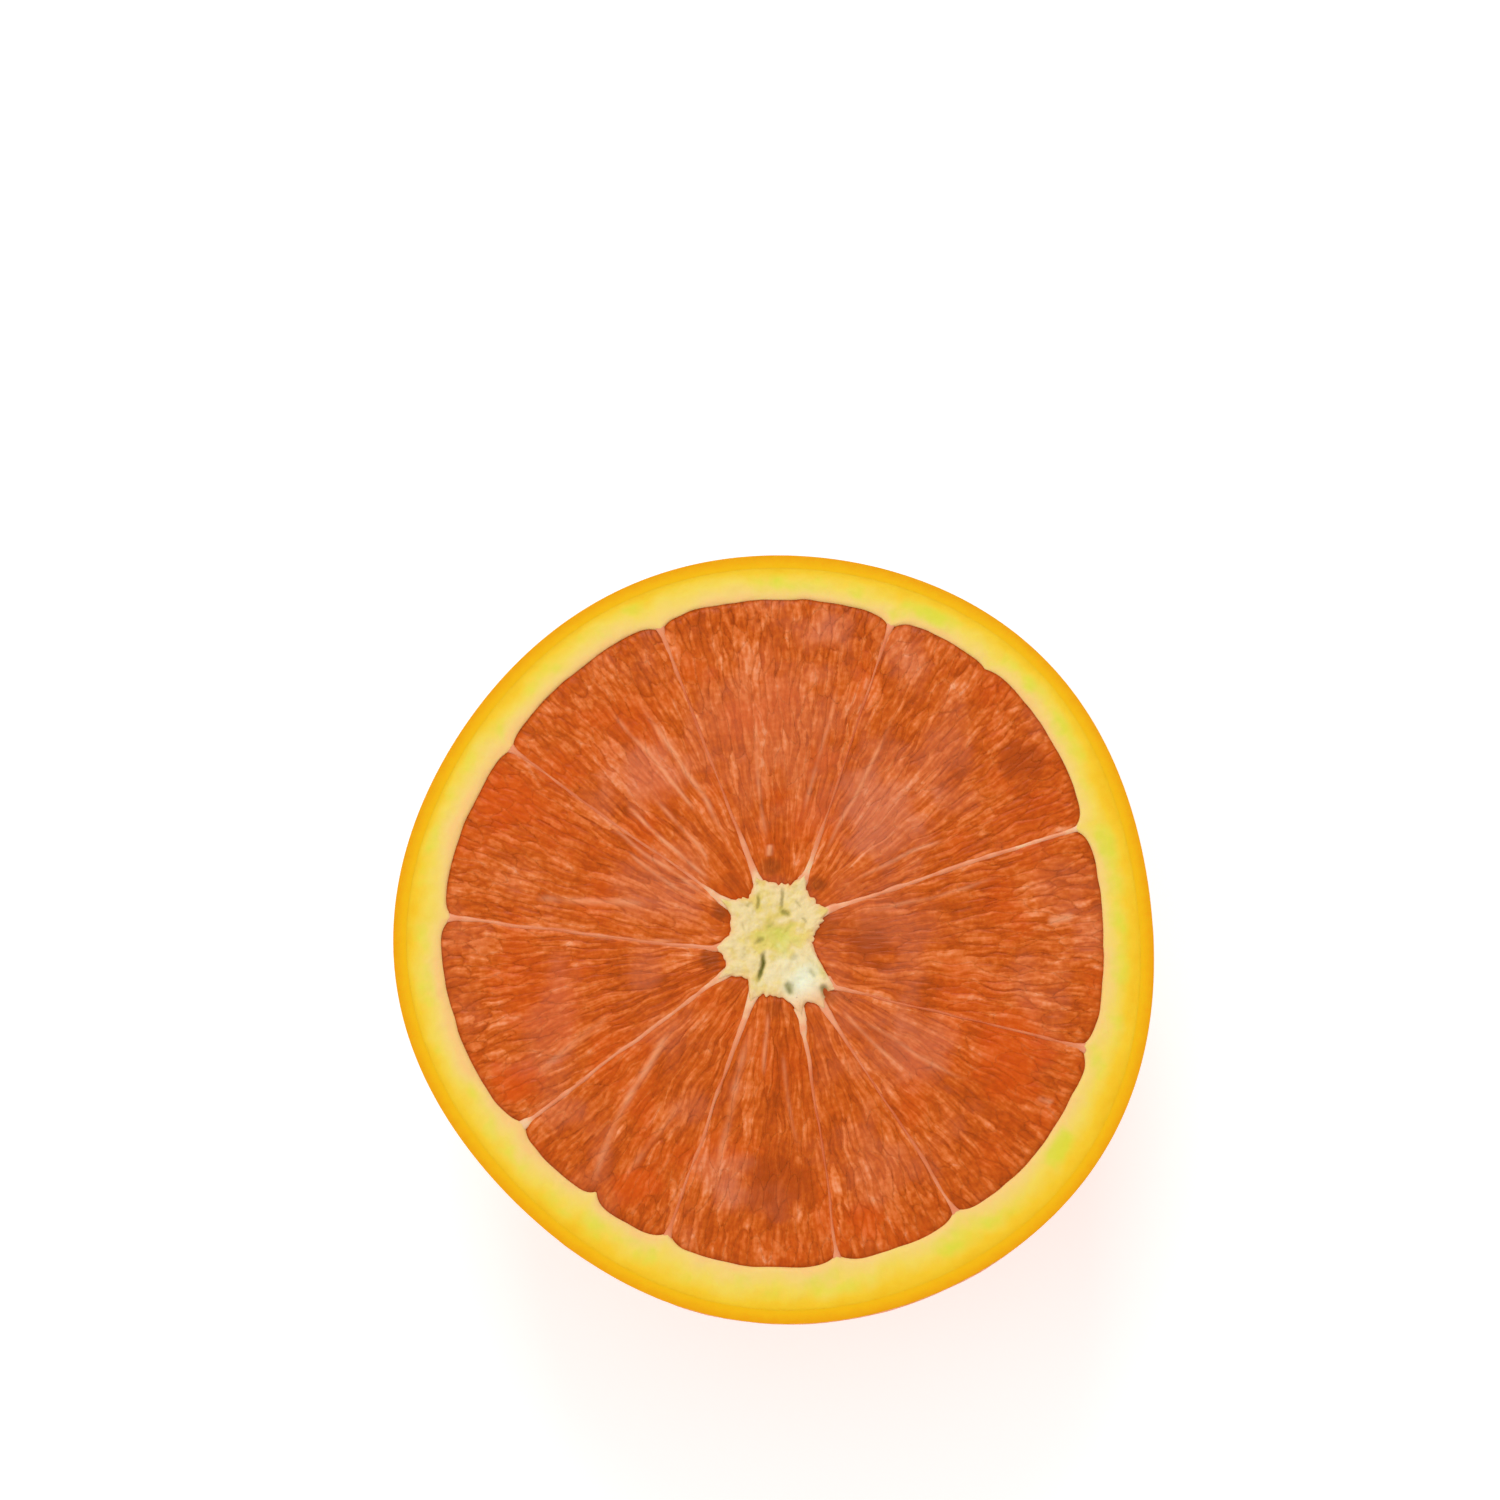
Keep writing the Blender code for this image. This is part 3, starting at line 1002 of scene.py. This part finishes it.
@dataclass
class Pith:
    """The pale layer between the peel and the flesh: a flat ring on the face, and a bowl below it."""

    face: CutFace
    steps: int = 1240
    rings: int = 26
    wall_levels: int = 8
    drop: float = 0.055 * MM  # how far it lies below the cut
    sponge: float = 0.05 * MM
    sag: float = 0.20 * MM  # how far it falls by the flesh
    sag_width: float = 0.22 * MM
    tuck: float = 0.30 * MM  # how far it reaches under the peel's cut edge
    tuck_drop: float = 0.09 * MM
    pale_deg: float = 165.0  # the side on which it is palest
    pale_shift: float = 0.09

    def shape(self, start: np.ndarray) -> Shaped:
        """Places the vertices of a stack of rings: up inside the bowl, over the face and down its outside."""
        face = self.face
        angle = np.arctan2(start[:, 1], start[:, 0])
        level = np.round(np.hypot(start[:, 0], start[:, 1]) - 1)
        top, down = self.wall_levels, self.wall_levels + self.rings
        inner, outer = face.flesh_edge(angle), face.rim(angle) - face.zest + self.tuck
        share = np.clip((level - top) / self.rings, 0, 1) ** 1.25  # finer by the flesh
        radius = inner + (outer - inner) * share
        plan = about(angle, radius)
        spongy = self.sponge * (layered_noise(plan / (0.9 * MM), 31, 2) + noise(plan / (3.2 * MM), 33))
        flat = smooth_step(share, 0.0, 0.06) * (1 - smooth_step(share, 0.78, 0.92))
        bevel = self.sag * np.exp(-(radius - inner) / self.sag_width)
        bevel = bevel + self.tuck_drop * smooth_step(radius, outer - self.tuck, outer)
        height = face.height - self.drop + spongy * flat - bevel
        places = face.place(angle, radius, height)
        turn = sunk(top - level, top)
        deep = (face.dome_depth - face.rind) * np.sin(turn)
        cavity = face.place(angle, inner * np.cos(turn), height - deep)
        places[level < top] = cavity[level < top]
        spread = radius * np.cos(turn) + np.maximum(level - down, 0) * 0.4 * MM
        turn = sunk(level - down, self.wall_levels, 80.0)
        shell_depth = face.dome_depth - face.zest
        shell = face.place(angle, outer * np.cos(turn), face.height - shell_depth * np.sin(turn))
        places[level > down] = shell[level > down]
        depth = (outer - radius) / np.maximum(outer - inner, 1e-6)
        depth += self.pale_shift * np.cos(angle - math.radians(self.pale_deg)) * smooth_step(depth, 0.05, 0.3)
        heart = smooth_step(depth, 0.15, 0.45) * (1 - smooth_step(depth, 0.65, 0.9))
        return Shaped(places, {"depth": depth, "heart": heart}, 0.5 + about(angle, spread) / (90 * MM))

    def build(self) -> bpy.types.Object:
        """Makes the piece."""
        blank = bmesh.new()
        bmesh.ops.create_circle(blank, segments=self.steps, radius=1.0)
        ring = blank.edges[:]
        bmesh.ops.edgeloop_fill(blank, edges=ring)
        for level in range(1, 2 * self.wall_levels + self.rings + 1):
            ring, moved = extrude_border(blank, ring)
            growth = (level + 1) / level
            bmesh.ops.scale(blank, verts=moved, vec=(growth, growth, 1.0))
        bmesh.ops.edgeloop_fill(blank, edges=ring)
        return shape_blank("pith", blank, self.shape)


@dataclass
class Core:
    """The pale middle: a star on the face, with a point to each membrane, and a stem down to the pole."""

    face: CutFace
    cells: int = 128
    wall_levels: int = 9
    crumb: float = 0.20 * MM
    dip: float = 0.30 * MM
    pit_depth: float = 0.55 * MM
    edge_fall: float = 0.22 * MM
    shoulder: float = 0.9 * MM  # how far the edge goes straight down
    stem: float = 30 * MM
    green: tuple[float, float, float] = (0.1 * MM, -0.2 * MM, 1.6 * MM)  # where it is greenest, and how far
    white: tuple[float, float, float] = (2.4 * MM, -5.2 * MM, 2.0 * MM)

    def shape(self, start: np.ndarray) -> Shaped:
        """Places the blank's vertices: the sheet is the star and its border goes down the stem."""
        face = self.face
        angle, reach = to_disc(start)
        level = np.round(-start[:, 2])
        edge = face.core_edge(angle)
        radius = edge * reach
        plan = about(angle, radius)
        ragged = 1 + 0.6 * layered_noise(plan / (1.3 * MM), 63, 3)
        middle, white = (
            np.exp(-((np.hypot(plan[:, 0] - x, plan[:, 1] - y) * ragged / size) ** 2))
            for x, y, size in (self.green, self.white)
        )
        pits = self.pits(plan)
        border = (edge - radius) / MM
        crumbs = self.crumb * layered_noise(plan / (0.7 * MM), 61, 3) * smooth_step(border, 0.0, 0.5)
        sunken = self.dip * middle + self.pit_depth * pits + self.edge_fall * np.exp(-border / 0.22)
        places = face.place(angle, radius, face.height + crumbs - sunken)
        turn = sunk(level - 1, self.wall_levels - 1)
        under = face.place(angle, edge * np.cos(turn), face.height - self.shoulder - self.stem * np.sin(turn))
        places[level >= 1] = under[level >= 1]
        rim = np.maximum(0.75 * smooth_step(radius / MM, 5.6, 8.6), 0.60 * np.exp(-border / 0.42))
        values = {"middle": middle, "white": white, "rim": rim, "pit": pits}
        return Shaped(places, values, 0.5 + about(angle, radius * (1 + 0.04 * level)) / (26 * MM))

    @staticmethod
    def pits(plan: np.ndarray) -> np.ndarray:
        """How deep each place lies in one of the core's pits, from 0 to 1."""
        depth = np.zeros(len(plan))
        strayed = stray(plan, 0.22 * MM, 0.8 * MM, 65)
        for pit in PITS:
            start, end = np.array(pit.start), np.array(pit.end)
            half = 0.5 * np.linalg.norm(end - start)
            aim = (end - start) / (2 * half)
            off = strayed - 0.5 * (start + end)
            along, across = off @ aim, off @ np.array([-aim[1], aim[0]])
            away = (across / pit.width) ** 2 + (along / (half + 0.5 * pit.width)) ** 4
            depth = np.maximum(depth, pit.depth * np.exp(-away))
        return depth

    def build(self) -> bpy.types.Object:
        """Makes the piece."""
        blank = make_blank(self.cells, self.cells, self.wall_levels)
        return shape_blank("core", blank, self.shape)


@dataclass
class Membrane:
    """The thin wall between two segments, from the face down to the pole."""

    face: CutFace
    number: int
    length_cells: int = 230
    width_cells: int = 6
    wall_levels: int = 8
    width: float = 0.40 * MM
    core_flare: tuple[float, float] = (1.05 * MM, 2.2 * MM)  # how much wider it is there, and how far out
    pith_flare: tuple[float, float] = (0.75 * MM, 0.8 * MM)
    tuck: float = 2.2 * MM  # how far it reaches under the core's point
    set_back: float = 0.09 * MM
    round_over: float = 0.10 * MM
    dive: float = 0.9 * MM  # how far its end dips under the core

    def shape(self, start: np.ndarray) -> Shaped:
        """Places the blank's vertices: X runs across the wall and Y outwards along it."""
        face = self.face
        wall = face.walls[self.number]
        level = np.round(-start[:, 2])
        inner = wall.tip - self.tuck
        outer = float(face.plain_flesh_edge(np.array([math.radians(wall.pith_deg)]))[0]) - 0.4 * MM
        share = start[:, 1]
        past = (outer - inner) * share
        radius, left = inner + past, outer - inner - past
        along = lane(radius / (1.6 * MM), 3.1 * self.number)
        by_core, half_way, by_pith = wall.paleness
        near, far = 1 - smooth_step(share, 0.08, 0.42), smooth_step(share, 0.60, 0.92)
        paleness = by_core * near + by_pith * far + half_way * (1 - near - far)
        width = self.width * (0.55 + 0.75 * paleness) * (1 + 0.5 * layered_noise(along, 71, 2))
        for (more, spread), off in ((self.core_flare, past), (self.pith_flare, left)):
            width = width + more * np.exp(-off / spread)
        across = start[:, 0] - 0.5
        crest = 0.05 * MM * layered_noise(along * 1.7 + 40, 73, 2) - self.set_back
        crest -= self.round_over * (2 * across) ** 2
        dive = self.dive * (1 - smooth_step(past, 0.2 * MM, 1.2 * MM))
        turn = sunk(level, self.wall_levels)
        drop = (face.dome_depth - face.rind) * np.sin(turn)
        angle = face.wall_angle(self.number, radius) + across * width / radius
        places = face.place(angle, radius * np.cos(turn), face.height + crest - dive - drop)
        paleness = paleness * (0.85 + 0.4 * layered_noise(along * 0.8 + 90, 79, 2))
        paleness = paleness + 0.60 * np.exp(-past / (3.0 * MM)) + 0.35 * np.exp(-left / (1.2 * MM))
        bake = np.stack([0.1 + 0.8 * share, 0.5 + across * (0.1 + 0.1 * level)], 1)
        return Shaped(places, {"paleness": np.clip(paleness, 0, 1)}, bake)

    def build(self) -> bpy.types.Object:
        """Makes the piece."""
        blank = make_blank(self.width_cells, self.length_cells, self.wall_levels)
        return shape_blank(f"membrane_{self.number + 1:02d}", blank, self.shape)


@dataclass
class Segment:
    """One segment of flesh: a wedge full of juice sacs, with its top where the knife went through them."""

    face: CutFace
    number: int
    cell: float = 0.125 * MM
    wall_levels: int = 7
    inner: float = 4.0 * MM
    even: float = 14.0 * MM  # how far out the sacs keep their size
    outer: float = 33.5 * MM
    tuck: float = 0.8 * MM  # how far it reaches under the core
    overlap: float = 0.22 * MM  # how far it reaches into the pith
    coarse: Rows = ((6.5 * MM, 3.4 * MM), (1.05 * MM, 1.20 * MM), 4)
    fine: Rows = ((5.4 * MM, 2.2 * MM), (0.50 * MM, 0.62 * MM), 5)
    recess: float = 0.12 * MM
    relief: float = 0.07 * MM
    fine_relief: float = 0.05 * MM
    swell: float = 0.16 * MM
    edge_drop: float = 0.26 * MM
    wall_drop: float = 0.10 * MM
    ray_rise: float = 0.07 * MM
    ray_gain: float = 1.35
    ray_reach: float = 1.2 * MM

    def span(self, radius: np.ndarray) -> tuple[np.ndarray, np.ndarray]:
        """The directions of the membranes on both sides, at each distance from the axis."""
        return self.face.wall_angle(self.number, radius), self.face.wall_angle(self.number + 1, radius)

    def widest(self) -> float:
        """The angle between the membranes on both sides, by the pith."""
        here, there = self.face.walls[self.number], self.face.walls[(self.number + 1) % len(self.face.walls)]
        return math.radians((there.pith_deg - here.pith_deg) % 360)

    def plan(self, start: np.ndarray) -> tuple[np.ndarray, np.ndarray]:
        """The direction and the distance from the axis of each of the blank's vertices."""
        face = self.face
        radius = self.inner + (self.outer - self.inner) * start[:, 1]
        for _ in range(3):  # the direction and the distance each depend on the other
            first, last = self.span(radius)
            angle = first + (last - first) * start[:, 0]
            inner = np.maximum(face.core_edge(angle % TURN) - self.tuck, 2.5 * MM)
            outer = face.flesh_edge(angle % TURN) + self.overlap
            radius = inner + (outer - inner) * start[:, 1]
        return angle, radius

    def sacs(self, rows: Rows, seed: int) -> Spindles:
        """Sacs in rows that fan out from the core, each next to the others like staggered bricks.

        Args:
            rows: Their lengths, widths and lean.
            seed: Picks another arrangement.

        Returns:
            The sacs.
        """
        long, wide, lean_deg = rows
        draw = np.random.default_rng(seed + self.number)
        middles, aims, lengths, widths = [], [], [], []
        row, radius = 0, self.inner - 2 * MM
        while radius < self.outer + 3 * MM:
            share = np.clip((radius - self.even) / (self.outer - self.even), 0, 1)
            length = long[0] + (long[1] - long[0]) * share
            width = wide[0] + (wide[1] - wide[0]) * share
            near = max(radius, 2 * MM)
            count = max(3, int((self.widest() * near + 2 * MM) / width))
            column = (np.arange(count) + 0.5 * (row % 2) + draw.uniform(-0.35, 0.35, count)) / count
            spot = near + draw.uniform(-0.42, 0.42, count) * length
            here, there = self.fan(column, spot), self.fan(column, spot + 0.4 * MM)
            lean = np.radians(draw.normal(0, lean_deg, count))
            turn = np.arctan2(*(there - here).T[::-1]) + lean
            middles.append(here)
            aims.append(about(turn, 1.0))
            lengths.append(0.5 * length * np.exp(draw.normal(0, 0.22, count)))
            widths.append(0.5 * width * np.exp(draw.normal(0, 0.16, count)))
            row, radius = row + 1, radius + 0.8 * length
        return Spindles(*(np.concatenate(found) for found in (middles, aims, lengths, widths)))

    def fan(self, column: np.ndarray, radius: np.ndarray) -> np.ndarray:
        """Places that are a share of the way across the segment, from just outside it to just outside it."""
        first, last = self.span(np.maximum(radius, 3 * MM))
        margin = 1 * MM / np.maximum(radius, 3 * MM)
        return about(first - margin + (last - first + 2 * margin) * column, radius)

    def rays(self, angle: np.ndarray, radius: np.ndarray) -> np.ndarray:
        """How pale each place is for the fibres and painted glints that cross it."""
        pale = np.zeros(len(angle))
        for row, ray in enumerate(RAYS):
            share = (radius - ray.start) / (ray.end - ray.start)
            middle = math.radians(ray.start_deg) + math.radians(ray.end_deg - ray.start_deg) * share
            off = ((angle - middle + math.pi) % TURN - math.pi) * radius
            near = np.flatnonzero((share > 0) & (share < 1) & (np.abs(off) < self.ray_reach))
            out, share, off = radius[near], share[near], off[near]
            off = off + 0.16 * MM * noise(lane(out / (3.2 * MM), 9.0 * row), 131)
            ends = smooth_step(share, 0.0, 0.2) * (1 - smooth_step(share, 0.75, 1.0))
            broken = 0.75 + 0.45 * noise(lane(out / (1.5 * MM), 5.0 * row), 133)
            line = self.ray_gain * ray.strength * broken * ends * np.exp(-((off / ray.width) ** 2))
            pale[near] = np.maximum(pale[near], line)
        return pale

    def blushes(self, spot: np.ndarray) -> tuple[np.ndarray, np.ndarray, np.ndarray]:
        """How much painted sheen, redness and darkness each place has from the patches that reach it."""
        marks = np.zeros((3, len(spot)))
        ragged = 0.55 * layered_noise(spot / (1.8 * MM) + 30, 141, 3)
        for blush in BLUSHES:
            middle = about(np.radians(blush.deg), blush.out)
            away = np.linalg.norm(spot - middle, axis=1) / blush.size + ragged
            kinds = np.array([[blush.haze], [blush.ember], [blush.shade]])
            marks = np.maximum(marks, kinds * (1 - smooth_step(away, 0.35, 1.15)))
        return marks[0], marks[1], marks[2]

    def shape(self, start: np.ndarray) -> Shaped:
        """Places the blank's vertices: X runs across the segment and Y outwards along it."""
        face = self.face
        level = np.round(-start[:, 2])
        angle, radius = self.plan(start)
        spot = about(angle, radius)
        wavy = stray(spot, 0.30 * MM, 2.2 * MM, 101)
        coarse, fine = self.sacs(self.coarse, 200), self.sacs(self.fine, 300)
        row, wall, local = coarse.find(wavy)
        fine_row, fine_wall, _ = fine.find(wavy)
        draw = np.random.default_rng(400 + self.number)
        luck = draw.random(len(coarse.middles))[row] - 0.5
        shift = draw.uniform(0, 50, (len(coarse.middles), 2))[row]
        fine_luck = draw.random(len(fine.middles))[fine_row] - 0.5
        first, last = self.span(radius)
        rim_off = np.maximum(face.flesh_edge(angle % TURN) - radius, 0)
        core_off = np.maximum(radius - face.core_edge(angle % TURN), 0)
        side_off = np.maximum(np.minimum((angle - first) * radius, (last - angle) * radius), 0)
        full = (1 - np.exp(-rim_off / (0.30 * MM))) * (1 - np.exp(-core_off / (0.40 * MM)))
        beside = np.exp(-side_off / (0.30 * MM))
        ray = self.rays(angle, radius)
        pillow = 1 - np.exp(-wall / (0.16 * MM))
        swell = self.relief * (pillow - 0.6) + 0.05 * MM * luck * pillow
        swell += self.fine_relief * smooth_step(fine_wall, 0.0, 0.25 * MM) + 0.04 * MM * fine_luck
        swell += self.swell * layered_noise(spot / (5 * MM), 91, 2)
        height = face.height - self.recess - self.edge_drop * (1 - full)
        height += (swell * (1 - 0.8 * beside) + self.ray_rise * ray - self.wall_drop * beside) * full
        turn = sunk(level, self.wall_levels)
        drop = (face.dome_depth - face.rind) * np.sin(turn)
        places = face.place(angle, radius * np.cos(turn), height - drop)
        haze, ember, shade = self.blushes(spot)
        skin = np.exp(-wall / (0.10 * MM)) * layered_noise(spot / (1.8 * MM) + 70, 143, 2)
        # Painted shade: darker at the fine sacs' walls, where the relief dips.
        crease_shade = smooth_step(fine_wall, 0.0, 0.22 * MM) - 0.5
        tone = 0.46 + 0.16 * luck + 0.38 * fine_luck + 0.20 * crease_shade + 0.30 * skin
        tone += 0.13 * layered_noise(spot / (3.6 * MM) + 50, 97, 3)
        # Lighter with the painted sheen; darker in the dark patches, which are partly painted shadow.
        tone += 0.20 * haze - 0.05 * ember - 0.30 * shade
        tone -= 0.05 * (1 - smooth_step(radius, 12 * MM, 26 * MM))  # deeper towards the core
        # Painted shade: darker by the pith and the core, where the flesh dips; paler beside the membranes.
        tone = tone * (0.60 + 0.40 * full) + 0.18 * beside
        drift = layered_noise(spot / (4.5 * MM) + 9, 99, 3)
        values = {
            "tone": np.clip(tone, 0, 1),
            # painted sheen and pinker tone, in patches and at random
            "haze": np.clip(haze + 0.45 * smooth_step(drift, 0.0, 0.7), 0, 1),
            "ember": np.maximum(ember, 0.55 * smooth_step(-drift, 0.05, 0.7)),
            # pale fibres, with painted glints at three places
            "ray": np.clip(ray, 0, 1),
            # painted shade where the flesh dips by the pith
            "brink": np.exp(-rim_off / (0.25 * MM)),
            # dark patches, partly painted shadow by the core
            "shade": shade,
        }
        bake = 0.5 + 0.9 * (start[:, :2] - 0.5) * (1 + 0.03 * np.minimum(level, 2)[:, None])
        return Shaped(places, values, bake, local / MM + shift)

    def build(self) -> bpy.types.Object:
        """Makes the piece."""
        across = int(self.widest() * self.outer / self.cell)
        along = int((self.outer - self.inner) / self.cell)
        blank = make_blank(across, along, self.wall_levels)
        return shape_blank(f"segment_{self.number + 1:02d}", blank, self.shape)


# --------------------------------------------------------------------------------------------------
# The whole half and the studio round it.


class Slot(Enum):
    """The record's slots for finishes."""

    FLESH = "flesh"
    PITH = "pith"
    PEEL = "peel"


@dataclass
class OrangeHalf:
    """All the layers of the halved orange, dressed and tied to the frame."""

    face: CutFace

    def dress(self, piece: bpy.types.Object, finish: bpy.types.Material) -> None:
        """Gives a piece its finish and ties it to the frame.

        Args:
            piece: The piece.
            finish: Its material.
        """
        piece.data.materials.append(finish)
        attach(piece, "root")
        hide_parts("orange_half")
        LOG.info("%s: %d faces", piece.name, len(piece.data.polygons))

    def build(self) -> None:
        """Makes every piece."""
        self.dress(Peel(self.face).build(), PeelFinish().make())
        self.dress(Pith(self.face).build(), PithFinish().make())
        self.dress(Core(self.face).build(), CoreFinish().make())
        membrane = MembraneFinish().make()
        flesh = FleshFinish().make()
        for number in range(len(self.face.walls)):
            self.dress(Membrane(self.face, number).build(), membrane)
            self.dress(Segment(self.face, number).build(), flesh)


@dataclass
class Studio:
    """A white table under soft light, and the camera that looks down on the cut face."""

    face: CutFace
    azimuth_deg: float = 12.0
    elevation_deg: float = 79.0
    lens: float = 100.0
    sensor: float = 36.0
    view_width: float = 152.5 * MM  # what the picture spans at the cut face
    aim_right: float = -2.9 * MM
    aim_up: float = 18.5 * MM
    floor_size: float = 6.0
    floor_gap: float = 0.02 * MM
    floor_glow: float = 0.33
    sky: float = 0.70
    key: Lamp = ((-0.08, 0.78, 0.85), 0.5, 4.3)
    fill: Lamp = ((-0.90, -0.40, 0.70), 1.0, 2.8)

    def floor(self) -> None:
        """A wide white table top, a hair below the fruit."""
        blank = bmesh.new()
        bmesh.ops.create_grid(blank, x_segments=2, y_segments=2, size=self.floor_size / 2)
        bmesh.ops.translate(blank, verts=blank.verts, vec=(0, 0, -self.floor_gap))
        mesh = bpy.data.meshes.new("table_top")
        blank.to_mesh(mesh)
        blank.free()
        table = bpy.data.objects.new("table_top", mesh)
        bpy.context.scene.collection.objects.link(table)
        graph = Graph("white_table")
        graph.set(Base_Color=(0.92, 0.92, 0.92, 1.0), Roughness=0.6, IOR=1.3)
        graph.set(Emission_Color=(1.0, 1.0, 1.0, 1.0), Emission_Strength=self.floor_glow)
        mesh.materials.append(graph.material)

    def lamp(self, name: str, lamp: Lamp) -> None:
        """A square soft box that faces the fruit."""
        place, width, power = lamp
        data = bpy.data.lights.new(name, "AREA")
        data.size = width
        data.energy = power
        box = bpy.data.objects.new(name, data)
        box.location = place
        box.rotation_euler = (-Vector(place)).to_track_quat("-Z", "Y").to_euler()
        bpy.context.scene.collection.objects.link(box)

    def light(self) -> None:
        """A bright room, a key light behind the fruit and a softer one to its left."""
        world = bpy.data.worlds.new("room")
        world.use_nodes = True
        world.node_tree.nodes["Background"].inputs["Color"].default_value = (1, 1, 1, 1)
        world.node_tree.nodes["Background"].inputs["Strength"].default_value = self.sky
        bpy.context.scene.world = world
        self.lamp("key", self.key)
        self.lamp("fill", self.fill)

    def camera(self) -> None:
        """Stands so that the cut face has the size and place that the picture needs."""
        azimuth, elevation = math.radians(self.azimuth_deg), math.radians(self.elevation_deg)
        flat = math.cos(elevation)
        back = Vector((math.sin(azimuth) * flat, -math.cos(azimuth) * flat, math.sin(elevation)))
        right = Vector((0, 1, 0)).cross(back).normalized()
        up = back.cross(right)
        data = bpy.data.cameras.new("camera")
        data.lens = self.lens
        data.sensor_width = self.sensor
        camera = bpy.data.objects.new("camera", data)
        centre = Vector((self.face.axis_x, self.face.axis_y, self.face.height))
        aim = centre + right * self.aim_right + up * self.aim_up
        camera.location = aim + back * (self.view_width * self.lens / data.sensor_width)
        camera.rotation_euler = Matrix((right, up, back)).transposed().to_euler()
        bpy.context.scene.collection.objects.link(camera)
        bpy.context.scene.camera = camera

    def build(self) -> None:
        """Sets up the table, the light and the camera."""
        self.camera()
        self.light()
        self.floor()
        bpy.context.scene.view_settings.view_transform = "Standard"


def main() -> None:
    """Builds the half and the studio."""
    logging.basicConfig(level=logging.INFO, format="%(message)s")
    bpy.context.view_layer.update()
    low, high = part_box("orange_half")
    mean_radius = (high.x - low.x + high.y - low.y) / 4 - SKIN_ROOM
    face = CutFace(*AXIS, mean_radius, high.z, DOME_DEPTH)
    Studio(face).build()
    OrangeHalf(face).build()


if __name__ == "__main__":
    main()
